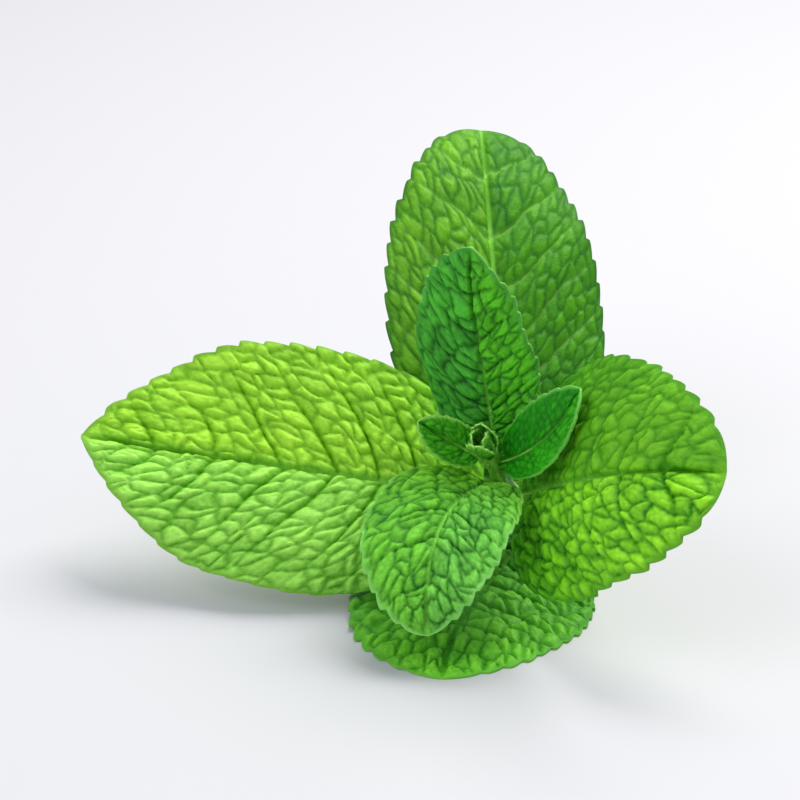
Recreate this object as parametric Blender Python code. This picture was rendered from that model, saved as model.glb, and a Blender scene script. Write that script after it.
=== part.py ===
"""A sprig of fresh mint: the tip of one shoot, lying where it was put down.

The square stem lies on the table at its cut end and rises towards its tip. Leaves stand on it
in crossed pairs: a large back and front leaf, a large left and right leaf, a small upper and
lower leaf, two young leaves, and the bud. Metres, +Z up; the sprig faces -Y.
"""

from math import cos, pi, radians, sin
from typing import NamedTuple

import bmesh
import bpy
import numpy as np
from mathutils import Matrix, Vector

# The stem. Its cut end lies at STEM_FOOT and it points towards STEM_HEADING.
STEM_FOOT = Vector((0.0298, 0.0290, 0.0))
STEM_HEADING = Vector((-0.39, -0.92, 0.0)).normalized()
STEM_LEFT = STEM_HEADING.cross(Vector((0, 0, 1)))
STEM_LYING = 0.012
STEM_RISING = 0.028
STEM_SLOPE = radians(50)
STEM_HALF = 0.0014
STEM_TOP_HALF = 0.0008
NODE_SWELLING = 0.18
NODE_REACH = 0.0016
STEM_STEP = 0.0012
CORNER_ROUNDING = 0.45

# Where the leaf pairs stand, measured along the stem from its cut end.
LARGE_PAIR = 0.027
SIDE_PAIR = 0.040
SMALL_PAIR = 0.0455
YOUNG_PAIR = 0.049
STEM_LENGTH = 0.0505

# The bud that closes the tip: a core, with two crossed pairs of tiny leaves round it.
BUD_GAP = 0.0004
BUD_CORE_HALF = 0.0011
BUD_CORE_LENGTH = 0.0036
BUD_ROOT = 0.0006
OUTER_BUD_PAIR = STEM_LENGTH + BUD_GAP + 0.0006
INNER_BUD_PAIR = OUTER_BUD_PAIR + 0.0008

# What all the blades have in common: their thickness, the space that keeps them off the stem,
# and the short stalk at the foot of each.
BLADE = 0.0007
JOINT_GAP = 0.0006
PETIOLE_HALF = 0.0008
PETIOLE_SHARE = 0.03
TIP_HALF = 0.00035

# The outline: SKEW below 1 puts the widest place nearer the foot, and a smaller FULLNESS makes
# both ends blunter. ROUNDING makes the foot blunter still, up to FOOT_SHARE of the length, and a
# leaf's own point makes its tip sharper, from TIP_SHARE on.
OUTLINE_SKEW = 0.87
OUTLINE_FULLNESS = 0.5
FOOT_ROUNDING = 0.14
FOOT_SHARE = 0.25
TIP_SHARE = 0.6

# Side veins leave the midrib behind the place where they reach the margin, as shares of the
# leaf's length, and sweep forward on the way. The blade is puffed up between them.
VEIN_START = 0.13
VEIN_END = 0.09
VEIN_SWEEP = 1.25
PUFF_ALONG = 0.6
PUFF_ACROSS = 0.7

# Teeth: two to each side vein, leaning towards the leaf's tip.
TEETH_PER_VEIN = 2
TOOTH_PEAK = 0.8
TOOTH_LEAN = 1.1
TOOTH_REACH = 10

# How the blade waves and flattens along its length, and how relief fades out at both ends.
RIPPLES = 2.5
FOLD_LOST_AT_TIP = 0.4
END_FADE = 10
MIDRIB_STEPS = 60
COLUMN_SPREAD = 0.9

# Blades that reach the table press flat on it.
TABLE_SOFTNESS = 0.0003
FLAT_BELOW = 0.0007


class Leaf(NamedTuple):
    """One leaf, in metres and degrees, as it leaves the stem and bends.

    around is 0 for the stem's upper side and 90 for its left. lift is the angle that the leaf
    makes with the stem. bend turns the midrib away from the stem's tip, as a rate at its start,
    middle and end; sway turns it sideways; roll turns the blade about its own midrib. fold
    raises the two halves from the midrib, droop turns their margins back down and tooth is how
    far their teeth stand out; all three give the right half first, seen with the tip up. point
    narrows the tip. root is how far the foot stands from the stem's middle line, or 0 for just
    off the stem's surface.
    """

    name: str
    stands_at: float
    around: float
    length: float
    width: float
    lift: float
    bend: tuple = (0, 0, 0)
    sway: float = 0
    roll: float = 0
    fold: tuple = (12, 12)
    droop: tuple = (25, 25)
    wave: float = 0.0006
    puff: float = 0.0006
    tooth: tuple = (0.0007, 0.0007)
    point: float = 0.12
    veins: int = 8
    columns: int = 6
    root: float = 0


LEAVES = (
    Leaf(
        "leaf_back", LARGE_PAIR, around=25, length=0.057, width=0.0307, lift=82,
        bend=(-9, 27, 160), sway=-21, roll=34, droop=(30, 40), point=0,
    ),
    Leaf(
        "leaf_front", LARGE_PAIR, around=168, length=0.041, width=0.032, lift=46,
        bend=(-55, -10, -20), sway=26, fold=(2, 10), droop=(8, 12), wave=0.0008, veins=7,
    ),
    Leaf(
        "leaf_left", SIDE_PAIR, around=106, length=0.0568, width=0.0346, lift=71,
        bend=(-14, 14, 10), sway=-8, droop=(-3, 38), tooth=(0.001, 0.0005), point=0.32,
    ),
    Leaf(
        "leaf_right", SIDE_PAIR, around=-103, length=0.045, width=0.0318, lift=37,
        bend=(28, 28, 160), roll=24, fold=(14, 14), point=0, veins=7,
    ),
    Leaf(
        "leaf_small_upper", SMALL_PAIR, around=21, length=0.032, width=0.0175, lift=47,
        bend=(-12, -38, 50), sway=-23, roll=-23, fold=(18, 18), droop=(20, 20),
        veins=6, puff=0.0003, tooth=(0.0004, 0.0004), columns=4,
    ),
    Leaf(
        "leaf_small_lower", SMALL_PAIR, around=163, length=0.031, width=0.0195, lift=37,
        bend=(38, 100, 90), sway=34, roll=10, droop=(20, 20),
        veins=6, puff=0.0003, tooth=(0.0005, 0.0005), columns=4,
    ),
    Leaf(
        "leaf_young_left", YOUNG_PAIR, around=86, length=0.0105, width=0.006, lift=56,
        bend=(-40, -20, 0), sway=-4, roll=-18, fold=(30, 30), droop=(10, 10),
        veins=3, puff=0.0001, tooth=(0.0002, 0.0002), wave=0.0, columns=3,
    ),
    Leaf(
        "leaf_young_right", YOUNG_PAIR, around=-80, length=0.0185, width=0.0092, lift=60,
        bend=(-26, -14, 40), sway=38, roll=22, fold=(28, 28), droop=(10, 10),
        veins=3, puff=0.0001, tooth=(0.0002, 0.0002), wave=0.0, columns=3,
    ),
)

BUD_LEAVES = (
    Leaf(
        "bud_lower", OUTER_BUD_PAIR, around=180, length=0.0052, width=0.0036, lift=34,
        bend=(-30, -60, -10), fold=(30, 30), droop=(10, 10),
        veins=2, puff=0.0, tooth=(0.0002, 0.0002), wave=0.0, columns=3, root=BUD_ROOT,
    ),
    Leaf(
        "bud_upper", OUTER_BUD_PAIR, around=0, length=0.0056, width=0.0036, lift=30,
        bend=(-30, -60, -10), fold=(30, 30), droop=(10, 10),
        veins=2, puff=0.0, tooth=(0.0002, 0.0002), wave=0.0, columns=3, root=BUD_ROOT,
    ),
    Leaf(
        "bud_left", INNER_BUD_PAIR, around=90, length=0.0042, width=0.0028, lift=22,
        bend=(-20, -50, 0), fold=(30, 30), droop=(10, 10),
        veins=2, puff=0.0, tooth=(0.0002, 0.0002), wave=0.0, columns=3, root=BUD_ROOT,
    ),
    Leaf(
        "bud_right", INNER_BUD_PAIR, around=-90, length=0.0042, width=0.0028, lift=22,
        bend=(-20, -50, 0), fold=(30, 30), droop=(10, 10),
        veins=2, puff=0.0, tooth=(0.0002, 0.0002), wave=0.0, columns=3, root=BUD_ROOT,
    ),
)


def stem_frame(along):
    """Centre, direction and upper side of the stem at a distance from its cut end."""
    radius = STEM_RISING / STEM_SLOPE
    rising = min(max(along - STEM_LYING, 0), STEM_RISING)
    beyond = max(along - STEM_LYING - STEM_RISING, 0)
    slope = rising / radius
    forward = min(along, STEM_LYING) + radius * sin(slope) + beyond * cos(slope)
    height = STEM_HALF + radius * (1 - cos(slope)) + beyond * sin(slope)
    centre = STEM_FOOT + STEM_HEADING * forward + Vector((0, 0, height))
    ahead = STEM_HEADING * cos(slope) + Vector((0, 0, sin(slope)))
    return centre, ahead, STEM_LEFT.cross(ahead)


def stem_half(along):
    """Half the stem's width there: it tapers, and swells where leaves stand."""
    half = STEM_HALF + (STEM_TOP_HALF - STEM_HALF) * (along / STEM_LENGTH) ** 2
    for place in (LARGE_PAIR, SIDE_PAIR, SMALL_PAIR, YOUNG_PAIR):
        nearness = max(1 - abs(along - place) / NODE_REACH, 0)
        half *= 1 + NODE_SWELLING * nearness
    return half


def material(name, colour, roughness):
    """A plain finish for one sub-part."""
    made = bpy.data.materials.new(name)
    made.use_nodes = True
    shader = made.node_tree.nodes["Principled BSDF"]
    shader.inputs["Base Color"].default_value = (*colour, 1)
    shader.inputs["Roughness"].default_value = roughness
    shader.inputs["Metallic"].default_value = 0
    return made


def add_object(name, mesh, finish):
    """Puts a mesh or curve into the scene as one named sub-part."""
    made = bpy.data.objects.new(name, mesh)
    made.data.materials.append(finish)
    bpy.context.scene.collection.objects.link(made)
    return made


def square_profile():
    """The stem's section as a closed curve: a square of half-width 1 with round corners."""
    outline = bpy.data.curves.new("stem_profile", "CURVE")
    outline.dimensions = "2D"
    spline = outline.splines.new("POLY")
    sides, per_side = 4, 3
    corners = []
    for side in range(sides):
        for step in range(per_side):
            turn = (step / (per_side - 1) - 0.5) * pi / 2
            centre = side * pi / 2 + pi / 4
            reach = (1 - CORNER_ROUNDING) * 2**0.5
            x = reach * cos(centre) + CORNER_ROUNDING * cos(centre + turn)
            y = reach * sin(centre) + CORNER_ROUNDING * sin(centre + turn)
            corners.append((x, y, 0, 1))
    spline.points.add(len(corners) - 1)
    for point, corner in zip(spline.points, reversed(corners)):
        point.co = corner
    spline.use_cyclic_u = True
    helper = bpy.data.objects.new("stem_profile", outline)
    bpy.context.scene.collection.objects.link(helper)
    helper.hide_render = True
    helper.display_type = "WIRE"
    return helper


def build_stem(finish):
    """The square stem, swept along its own line and thickened at each pair of leaves."""
    path = bpy.data.curves.new("stem", "CURVE")
    path.dimensions = "3D"
    path.twist_mode = "Z_UP"
    path.bevel_mode = "OBJECT"
    path.bevel_object = square_profile()
    path.use_fill_caps = True
    spline = path.splines.new("POLY")
    steps = round(STEM_LENGTH / STEM_STEP)
    spline.points.add(steps)
    for step, point in enumerate(spline.points):
        along = STEM_LENGTH * step / steps
        point.co = (*stem_frame(along)[0], 1)
        point.radius = stem_half(along)
    return add_object("stem", path, finish)


def walk_midrib(leaf):
    """Places and frames along the midrib, one row each: place, ahead, side and face."""
    centre, up_stem, upper = stem_frame(leaf.stands_at)
    around = radians(leaf.around)
    outward = upper * cos(around) + STEM_LEFT * sin(around)
    lift = radians(leaf.lift)
    ahead = up_stem * cos(lift) + outward * sin(lift)
    face = up_stem * sin(lift) - outward * cos(lift)
    face.rotate(Matrix.Rotation(radians(leaf.roll), 3, ahead))
    root = leaf.root or stem_half(leaf.stands_at) + JOINT_GAP
    place = centre + outward * root
    rows = []
    for step in range(MIDRIB_STEPS + 1):
        rows.append([*place, *ahead, *face.cross(ahead), *face])
        bend = np.interp(step / MIDRIB_STEPS, (0, 0.5, 1), leaf.bend)
        back = Matrix.Rotation(radians(bend / MIDRIB_STEPS), 3, face.cross(ahead))
        aside = Matrix.Rotation(radians(leaf.sway / MIDRIB_STEPS), 3, face)
        place = place + ahead * (leaf.length / MIDRIB_STEPS)
        ahead = (back @ aside @ ahead).normalized()
        face = back @ aside @ face
        face = (face - ahead * face.dot(ahead)).normalized()
    return np.array(rows)


def tooth_shape(phase):
    """A saw tooth that leans towards the leaf's tip: 0 in the notch and 1 at its point."""
    part = phase % 1
    return np.where(part < TOOTH_PEAK, part / TOOTH_PEAK, (1 - part) / (1 - TOOTH_PEAK))


def fade_at_ends(blade):
    """1 along most of the blade, falling to 0 at its foot and its tip."""
    return np.clip(END_FADE * blade, 0, 1) * np.clip(END_FADE * (1 - blade), 0, 1)


def past_petiole(row):
    """The share of the way along the blade itself, for a share of the way along the leaf."""
    return np.clip((row - PETIOLE_SHARE) / (1 - PETIOLE_SHARE), 0, 1)


def leaf_points(leaf, row, column):
    """The blade's upper face. row runs 0 to 1 from foot to tip, column -1 to 1 across it."""
    blade = past_petiole(row)
    across = np.abs(column)
    side_sign = np.where(column < 0, -1, 1)
    belly = np.sin(pi * blade)

    at_rib = row - VEIN_START * belly
    at_margin = row + VEIN_END * belly
    near_foot = np.clip(1 - row / FOOT_SHARE, 0, 1)
    near_tip = np.clip((row - TIP_SHARE) / (1 - TIP_SHARE), 0, 1)
    fullness = OUTLINE_FULLNESS - FOOT_ROUNDING * near_foot + leaf.point * near_tip
    outline = np.sin(pi * past_petiole(at_margin) ** OUTLINE_SKEW) ** fullness
    foot = PETIOLE_HALF + (TIP_HALF - PETIOLE_HALF) * row
    half = np.hypot(outline * leaf.width / 2, foot)

    tooth = tooth_shape(blade * leaf.veins * TEETH_PER_VEIN) * np.where(column < 0, *leaf.tooth)
    tooth = tooth * across**TOOTH_REACH * fade_at_ends(blade)
    along = leaf.length * (at_rib + (at_margin - at_rib) * across**VEIN_SWEEP)
    along = along + TOOTH_LEAN * tooth
    outwards = half * across + tooth

    rows = walk_midrib(leaf)
    station = along / leaf.length * MIDRIB_STEPS
    picked = [np.interp(station, range(len(rows)), values) for values in rows.T]
    place, ahead, side, face = np.array(picked).reshape(4, 3, -1).transpose(0, 2, 1)
    place = place + ahead * np.clip(along - leaf.length, 0, None)[:, None]

    fold = np.radians(np.where(column < 0, *leaf.fold)) * (1 - FOLD_LOST_AT_TIP * row)
    droop = np.radians(np.where(column < 0, *leaf.droop))
    curve = droop / (leaf.width / 2)
    slope = fold - curve * outwards
    reach = outwards * np.cos((fold + slope) / 2)
    rise = outwards * np.sin((fold + slope) / 2)
    ripple = np.sin(2 * pi * RIPPLES * row + side_sign) * leaf.wave * across**2 * belly

    points = place + side * (reach * side_sign)[:, None] + face * (rise + ripple)[:, None]
    points[:, 2] = BLADE + TABLE_SOFTNESS * np.logaddexp(0, (points[:, 2] - BLADE) / TABLE_SOFTNESS)

    puff = np.abs(np.sin(pi * leaf.veins * blade)) ** PUFF_ALONG
    puff = puff * np.sin(pi * across**PUFF_ACROSS) ** PUFF_ACROSS * fade_at_ends(blade)
    normal = face * np.cos(slope)[:, None] - side * (np.sin(slope) * side_sign)[:, None]
    return points + normal * (leaf.puff * puff)[:, None]


def build_leaf(leaf, finish):
    """A leaf: a flat grid is laid along its veins, bent to the blade's shape and thickened."""
    teeth = leaf.veins * TEETH_PER_VEIN
    blade_rows = [(tooth + part) / teeth for tooth in range(teeth) for part in (0, TOOTH_PEAK)]
    rows = [0.0] + [PETIOLE_SHARE + (1 - PETIOLE_SHARE) * share for share in blade_rows] + [1.0]
    half = [(step / leaf.columns) ** COLUMN_SPREAD for step in range(1, leaf.columns + 1)]
    columns = [-share for share in reversed(half)] + [0.0] + half
    last_row, last_column = len(rows) - 1, len(columns) - 1

    shape = bmesh.new()
    bmesh.ops.create_grid(shape, x_segments=last_row, y_segments=last_column, size=1)
    row = np.array([rows[round((v.co.x + 1) / 2 * last_row)] for v in shape.verts])
    column = np.array([columns[round((v.co.y + 1) / 2 * last_column)] for v in shape.verts])
    for vertex, point in zip(shape.verts, leaf_points(leaf, row, column)):
        vertex.co = point
    bmesh.ops.triangulate(shape, faces=shape.faces)
    bmesh.ops.solidify(shape, geom=shape.faces, thickness=BLADE)
    bmesh.ops.recalc_face_normals(shape, faces=shape.faces)
    for vertex in shape.verts:
        if vertex.co.z < FLAT_BELOW:
            vertex.co.z = 0
    mesh = bpy.data.meshes.new(leaf.name)
    shape.to_mesh(mesh)
    shape.free()
    return add_object(leaf.name, mesh, finish)


def build_bud(finish):
    """The closed tip: tiny leaves stand round a core and are joined to it as one body."""
    foot, ahead, _ = stem_frame(STEM_LENGTH + BUD_GAP)
    core = bmesh.new()
    bmesh.ops.create_icosphere(core, subdivisions=2, radius=1)
    bmesh.ops.scale(core, vec=(BUD_CORE_HALF, BUD_CORE_HALF, BUD_CORE_LENGTH / 2), verts=core.verts)
    turn = Vector((0, 0, 1)).rotation_difference(ahead).to_matrix()
    middle = foot + ahead * (BUD_CORE_LENGTH / 2)
    bmesh.ops.transform(core, matrix=Matrix.Translation(middle) @ turn.to_4x4(), verts=core.verts)
    mesh = bpy.data.meshes.new("bud")
    core.to_mesh(mesh)
    core.free()
    bud = add_object("bud", mesh, finish)

    blades = bpy.data.collections.new("bud_leaves")
    for leaf in BUD_LEAVES:
        blades.objects.link(build_leaf(leaf, finish))
    join = bud.modifiers.new("join", "BOOLEAN")
    join.operation = "UNION"
    join.operand_type = "COLLECTION"
    join.collection = blades
    join.solver = "EXACT"
    bpy.context.view_layer.update()
    ready = bud.evaluated_get(bpy.context.evaluated_depsgraph_get())
    joined = bpy.data.meshes.new_from_object(ready)
    bud.modifiers.clear()
    bud.data = joined
    for blade in list(blades.objects):
        bpy.data.objects.remove(blade)
    bpy.data.collections.remove(blades)
    return bud


def main():
    for old in list(bpy.data.objects):
        bpy.data.objects.remove(old)
    leaf_green = material("leaf_green", (0.10, 0.33, 0.03), 0.45)
    small_leaf_green = material("small_leaf_green", (0.09, 0.28, 0.07), 0.45)
    young_green = material("young_green", (0.20, 0.42, 0.08), 0.45)
    stem_green = material("stem_green", (0.20, 0.36, 0.10), 0.5)
    finishes = {
        LARGE_PAIR: leaf_green,
        SIDE_PAIR: leaf_green,
        SMALL_PAIR: small_leaf_green,
        YOUNG_PAIR: young_green,
    }
    build_stem(stem_green)
    for leaf in LEAVES:
        build_leaf(leaf, finishes[leaf.stands_at])
    build_bud(young_green)


main()
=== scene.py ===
# %% [markdown]
# # A sprig of fresh mint
# This is the tip of one mint shoot: a square stem, four large leaves, two small ones, two young
# ones and a closed bud. The solids of the sprig are loaded first and stay where they are. Every
# piece made here takes the place of one of them, with the same shape and much finer relief.

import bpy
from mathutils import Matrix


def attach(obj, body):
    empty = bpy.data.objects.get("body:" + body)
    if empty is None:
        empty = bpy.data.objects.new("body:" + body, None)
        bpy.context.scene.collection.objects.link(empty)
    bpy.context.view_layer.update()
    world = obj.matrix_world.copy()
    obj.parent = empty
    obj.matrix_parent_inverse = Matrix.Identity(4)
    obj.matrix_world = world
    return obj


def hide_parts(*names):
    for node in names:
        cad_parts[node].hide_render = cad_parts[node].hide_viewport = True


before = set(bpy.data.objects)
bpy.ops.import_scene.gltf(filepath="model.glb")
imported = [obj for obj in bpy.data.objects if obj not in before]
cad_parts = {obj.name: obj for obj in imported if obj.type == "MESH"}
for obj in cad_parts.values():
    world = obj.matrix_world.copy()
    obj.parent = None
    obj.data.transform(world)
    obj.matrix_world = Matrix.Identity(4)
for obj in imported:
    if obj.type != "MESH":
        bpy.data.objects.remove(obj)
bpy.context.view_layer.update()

# %% [markdown]
# ## The stem's line
# Leaves grow on a stem, so the stem comes first. It lies flat behind, bends up along an arc and
# ends at the bud. One function tells the centre, the direction and the upper side at any distance
# from the cut end, and everything else is placed by asking it.

# %% The stem's line
from math import cos, pi, radians, sin
from typing import NamedTuple

import bmesh
import bpy
import numpy as np
from mathutils import Matrix, Vector

MM = 0.001
STEM_FOOT = Vector((29.8 * MM, 29.0 * MM, 0.0))
STEM_HEADING = Vector((-0.39, -0.92, 0.0)).normalized()
STEM_LEFT = STEM_HEADING.cross(Vector((0, 0, 1)))
STEM_LYING = 12 * MM
STEM_RISING = 28 * MM
STEM_SLOPE = radians(50)
STEM_HALF = 1.4 * MM
STEM_TOP_HALF = 0.8 * MM
STEM_LENGTH = 50.5 * MM
LARGE_PAIR = 27 * MM
SIDE_PAIR = 40 * MM
SMALL_PAIR = 45.5 * MM
YOUNG_PAIR = 49 * MM
NODE_SWELLING = 0.18
NODE_REACH = 1.6 * MM


def stem_frame(along):
    """Centre, direction and upper side of the stem at a distance from its cut end."""
    radius = STEM_RISING / STEM_SLOPE
    rising = min(max(along - STEM_LYING, 0), STEM_RISING)
    beyond = max(along - STEM_LYING - STEM_RISING, 0)
    slope = rising / radius
    forward = min(along, STEM_LYING) + radius * sin(slope) + beyond * cos(slope)
    height = STEM_HALF + radius * (1 - cos(slope)) + beyond * sin(slope)
    centre = STEM_FOOT + STEM_HEADING * forward + Vector((0, 0, height))
    ahead = STEM_HEADING * cos(slope) + Vector((0, 0, sin(slope)))
    return centre, ahead, STEM_LEFT.cross(ahead)


def stem_half(along):
    """Half the stem's width there: it tapers, and swells where leaves stand."""
    half = STEM_HALF + (STEM_TOP_HALF - STEM_HALF) * (along / STEM_LENGTH) ** 2
    for place in (LARGE_PAIR, SIDE_PAIR, SMALL_PAIR, YOUNG_PAIR):
        half *= 1 + NODE_SWELLING * max(1 - abs(along - place) / NODE_REACH, 0)
    return half


print("stem tip at", tuple(round(x / MM, 1) for x in stem_frame(STEM_LENGTH)[0]), "mm")

# %% [markdown]
# ## One leaf in numbers
# A mint leaf is always the same plan, bent another way each time. So a leaf is a few numbers: where
# it stands, how long and wide it is, how its midrib bends and sways, and how its two halves fold
# up and droop. The last numbers say how fine its relief is: `cell` is the size of the cushions
# between its veins, `stretch` how much longer than wide they are, and `quilt` how high they stand.


# %% One leaf in numbers
class Leaf(NamedTuple):
    """A leaf in metres and degrees. Pairs give the right half first, seen with the tip up."""

    name: str
    stands_at: float
    around: float
    length: float
    width: float
    lift: float
    bend: tuple = (0, 0, 0)
    sway: float = 0
    roll: float = 0
    fold: tuple = (12, 12)
    droop: tuple = (25, 25)
    wave: float = 0.6 * MM
    puff: float = 0.6 * MM
    tooth: tuple = (0.42 * MM, 0.42 * MM)
    point: float = 0.12
    veins: int = 8
    root: float = 0
    cell: float = 1.8 * MM
    stretch: float = 1.35
    quilt: tuple = (0.56 * MM, 0.56 * MM)
    rows_per_vein: int = 34
    columns: int = 70


SMALL_RELIEF = dict(
    fold=(18, 18), droop=(20, 20), veins=6, puff=0.3 * MM, cell=1.3 * MM, rows_per_vein=36, columns=52,
)
YOUNG_RELIEF = dict(
    droop=(10, 10), veins=3, puff=0.1 * MM, tooth=(0.2 * MM, 0.2 * MM), wave=0.0,
    cell=0.9 * MM, quilt=(0.2 * MM, 0.2 * MM), rows_per_vein=28, columns=26,
)
LEAVES = (
    Leaf(
        "leaf_back", LARGE_PAIR, around=25, length=57 * MM, width=30.7 * MM, lift=82,
        bend=(-9, 27, 160), sway=-21, roll=34, droop=(30, 40), point=0,
        puff=0.5 * MM, quilt=(0.26 * MM, 0.34 * MM),
    ),
    Leaf(
        "leaf_front", LARGE_PAIR, around=168, length=41 * MM, width=32 * MM, lift=46,
        bend=(-55, -10, -20), sway=26, fold=(2, 10), droop=(8, 12), wave=0.8 * MM, veins=7,
    ),
    Leaf(
        "leaf_left", SIDE_PAIR, around=106, length=56.8 * MM, width=34.6 * MM, lift=71,
        bend=(-14, 14, 10), sway=-8, droop=(-3, 38), tooth=(0.45 * MM, 0.2 * MM), point=0.32,
    ),
    Leaf(
        "leaf_right", SIDE_PAIR, around=-103, length=45 * MM, width=31.8 * MM, lift=37,
        bend=(28, 28, 160), roll=24, fold=(14, 14), point=0, veins=7,
        quilt=(0.56 * MM, 0.32 * MM),
    ),
    Leaf(
        "leaf_small_upper", SMALL_PAIR, around=21, length=32 * MM, width=17.5 * MM, lift=47,
        bend=(-12, -38, 50), sway=-23, roll=-23, tooth=(0.3 * MM, 0.3 * MM),
        stretch=2.4, quilt=(0.36 * MM, 0.36 * MM), **SMALL_RELIEF,
    ),
    Leaf(
        "leaf_small_lower", SMALL_PAIR, around=163, length=31 * MM, width=19.5 * MM, lift=37,
        bend=(38, 100, 90), sway=34, roll=10, tooth=(0.35 * MM, 0.35 * MM),
        stretch=1.9, quilt=(0.42 * MM, 0.42 * MM), **SMALL_RELIEF,
    ),
    Leaf(
        "leaf_young_left", YOUNG_PAIR, around=86, length=10.5 * MM, width=6 * MM, lift=56,
        bend=(-40, -20, 0), sway=-4, roll=-18, fold=(30, 30), **YOUNG_RELIEF,
    ),
    Leaf(
        "leaf_young_right", YOUNG_PAIR, around=-80, length=18.5 * MM, width=9.2 * MM, lift=60,
        bend=(-26, -14, 40), sway=38, roll=22, fold=(28, 28), **YOUNG_RELIEF,
    ),
)
print("leaf lengths", {leaf.name: round(leaf.length / MM, 1) for leaf in LEAVES}, "mm")

# %% [markdown]
# ## Walking along the midrib
# The midrib is a bent line in space. Instead of drawing it, we walk it: at each small step the
# direction turns a little back and a little aside, and we note the place, the way ahead, the way
# to the side and the way the blade faces. Any point of the blade can then be found from its row.

# %% Walking along the midrib
MIDRIB_STEPS = 60
JOINT_GAP = 0.6 * MM


def walk_midrib(leaf):
    """Places and frames along the midrib, one row each: place, ahead, side and face."""
    centre, up_stem, upper = stem_frame(leaf.stands_at)
    around = radians(leaf.around)
    outward = upper * cos(around) + STEM_LEFT * sin(around)
    lift = radians(leaf.lift)
    ahead = up_stem * cos(lift) + outward * sin(lift)
    face = up_stem * sin(lift) - outward * cos(lift)
    face.rotate(Matrix.Rotation(radians(leaf.roll), 3, ahead))
    place = centre + outward * (leaf.root or stem_half(leaf.stands_at) + JOINT_GAP)
    rows = []
    for step in range(MIDRIB_STEPS + 1):
        rows.append([*place, *ahead, *face.cross(ahead), *face])
        bend = np.interp(step / MIDRIB_STEPS, (0, 0.5, 1), leaf.bend)
        back = Matrix.Rotation(radians(bend / MIDRIB_STEPS), 3, face.cross(ahead))
        aside = Matrix.Rotation(radians(leaf.sway / MIDRIB_STEPS), 3, face)
        place = place + ahead * (leaf.length / MIDRIB_STEPS)
        ahead = (back @ aside @ ahead).normalized()
        face = back @ aside @ face
        face = (face - ahead * face.dot(ahead)).normalized()
    return np.array(rows)


for leaf in LEAVES[:4]:
    print(leaf.name, "tip at", np.round(walk_midrib(leaf)[-1, :3] / MM, 1), "mm")

# %% [markdown]
# ## The outline and its teeth
# The blade is widest a little below its middle and blunt at both ends, which a stretched sine
# gives. Side veins leave the midrib and sweep forward to the margin, so the rows of our grid do
# the same: then every side vein is simply one row. The margin has two teeth to each side vein, all
# leaning towards the tip.

# %% The outline and its teeth
PETIOLE_SHARE = 0.03
PETIOLE_HALF = 0.8 * MM
SLENDER_LEAF = 8 * MM
TIP_HALF = 0.2 * MM
OUTLINE_SKEW = 0.87
OUTLINE_FULLNESS = 0.5
FOOT_ROUNDING = 0.14
FOOT_SHARE = 0.25
TIP_SHARE = 0.6
VEIN_START = 0.13
VEIN_END = 0.09
VEIN_SWEEP = 1.25
TEETH_PER_VEIN = 2
TOOTH_PEAK = 0.8
TOOTH_LEAN = 1.1
TOOTH_REACH = 10
TOOTH_FADE = 10
UNEVEN_TEETH = 0.6


def past_petiole(row):
    """The share of the way along the blade itself, for a share of the way along the leaf."""
    return np.clip((row - PETIOLE_SHARE) / (1 - PETIOLE_SHARE), 0, 1)


def fade_at_ends(blade, rate):
    """1 along most of the blade, falling to 0 at its foot and its tip."""
    return np.clip(rate * blade, 0, 1) * np.clip(rate * (1 - blade), 0, 1)


def half_width(leaf, row, at_margin):
    """Half the blade's width without its teeth."""
    near_foot = np.clip(1 - row / FOOT_SHARE, 0, 1)
    near_tip = np.clip((row - TIP_SHARE) / (1 - TIP_SHARE), 0, 1)
    fullness = OUTLINE_FULLNESS - FOOT_ROUNDING * near_foot + leaf.point * near_tip
    outline = np.sin(pi * past_petiole(at_margin) ** OUTLINE_SKEW) ** fullness
    foot = PETIOLE_HALF * min(1, leaf.width / SLENDER_LEAF) * (1 - row) + TIP_HALF * row
    return np.hypot(outline * leaf.width / 2, foot)


def tooth_height(leaf, blade, column, draw):
    """How far each tooth stands out of the margin: 0 in a notch, most at its point."""
    count = leaf.veins * TEETH_PER_VEIN
    phase = blade * count
    part = phase % 1
    swell = np.sin(pi / 2 * part / TOOTH_PEAK)
    shape = np.where(part < TOOTH_PEAK, swell, (1 - part) / (1 - TOOTH_PEAK))
    sizes = 1 + UNEVEN_TEETH * (draw.random((2, count + 1)) - 0.5)
    size = sizes[(column < 0).astype(int), phase.astype(int)] * np.where(column < 0, *leaf.tooth)
    return shape * size * np.abs(column) ** TOOTH_REACH * fade_at_ends(blade, TOOTH_FADE)


print("teeth on each side of leaf_left:", LEAVES[2].veins * TEETH_PER_VEIN)

# %% [markdown]
# ## The bent blade
# Now each point of the grid gets its place. Its row finds a frame on the midrib, and its column
# says how far out it lies. The halves fold up from the midrib and curve down towards the margin,
# and the margin waves a little. Where a blade would sink into the surface it lies on, a soft limit
# presses it flat.

# %% The bent blade
RIPPLES = 2.5
FOLD_LOST_AT_TIP = 0.4
SHEET = 0.3 * MM
TABLE_SOFTNESS = 0.3 * MM


class Blade(NamedTuple):
    """One leaf on its grid of rows and columns, before its fine relief."""

    place: np.ndarray
    normal: np.ndarray
    row: np.ndarray
    column: np.ndarray
    blade: np.ndarray
    outwards: np.ndarray
    half: np.ndarray
    vein_reach: np.ndarray


def press_on_table(height, lowest):
    """Keeps heights above the lowest one, with a soft turn where they reach it."""
    return lowest + TABLE_SOFTNESS * np.logaddexp(0, (height - lowest) / TABLE_SOFTNESS)


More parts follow.
